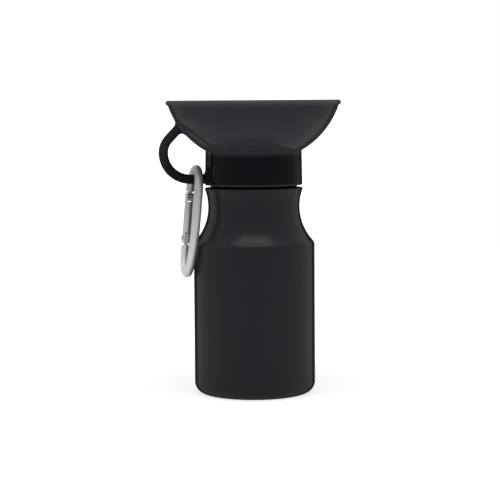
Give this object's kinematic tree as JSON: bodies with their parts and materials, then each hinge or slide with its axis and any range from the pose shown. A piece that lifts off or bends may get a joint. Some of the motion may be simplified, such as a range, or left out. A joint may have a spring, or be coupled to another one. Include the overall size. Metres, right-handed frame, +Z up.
{
  "type": "dog travel water bottle",
  "caption": "Squeeze bottle with a waisted shoulder that screws into a flared drinking bowl; a ring handle on the bowl carries a spring-gate carabiner.",
  "frame": {"origin": "centre of the foot, on the surface that the bottle stands on, on the bottle axis", "axes": "+Z up along the bottle axis; the ring handle and carabiner point to -X; +Y is away from the front view"},
  "size_m": [0.1127, 0.1082, 0.1816],
  "materials": {
    "bottle_ldpe": "satin moulded polyethylene, charcoal black",
    "bowl_pp": "glossy moulded polypropylene, black",
    "natural_plastic": "natural milky plastic",
    "silicone": "matte grey silicone",
    "black_rubber": "matte black rubber",
    "satin_aluminium": "satin, lightly brushed",
    "steel": "bright"
  },
  "bodies": {
    "bottle": {"bottle": "bottle_ldpe", "tube_insert": "natural_plastic", "insert_seal": "black_rubber", "dip_tube": "natural_plastic"},
    "stopper": {"stopper": "silicone"},
    "bowl": {"bowl": "bowl_pp", "skirt_seal": "black_rubber"},
    "carabiner": {"carabiner_body": "satin_aluminium", "gate_rivet": "steel"},
    "gate": {"carabiner_gate": "satin_aluminium", "latch_pin": "steel", "gate_spring": "steel"},
    "plunger": {"spring_plunger": "steel"}
  },
  "joints": [
    {"name": "bowl_lift", "type": "slide", "parent": "bottle", "child": "stopper", "axis": [0, 0, 1], "range_m": [0, 0.0091]},
    {"name": "bowl_twist", "type": "hinge", "parent": "stopper", "child": "bowl", "pos_m": [0, 0, 0.1397], "axis": [0, 0, 1], "range_deg": [0, 540]},
    {"name": "carabiner_swing", "type": "hinge", "parent": "bowl", "child": "carabiner", "pos_m": [-0.037, 0, 0.124], "axis": [-1, 0, 0], "range_deg": [0, 120]},
    {"name": "gate_open", "type": "hinge", "parent": "carabiner", "child": "gate", "pos_m": [-0.04245, 0.01118, 0.09566], "axis": [0.9741, 0.1977, -0.1095], "range_deg": [0, 28], "stiffness_Nm_per_rad": 0.06, "springref_deg": -17.19},
    {"name": "plunger_slide", "type": "slide", "parent": "gate", "child": "plunger", "axis": [0.0833, 0.1364, 0.9871], "range_m": [0, 0.0011], "deforming": ["gate_spring"]}
  ],
  "couplings": [
    {"joint": "bowl_lift", "follows": "bowl_twist", "m_per_rad": 0.00095493},
    {"joint": "plunger_slide", "follows": "gate_open", "m_per_rad": 0.0022}
  ]
}
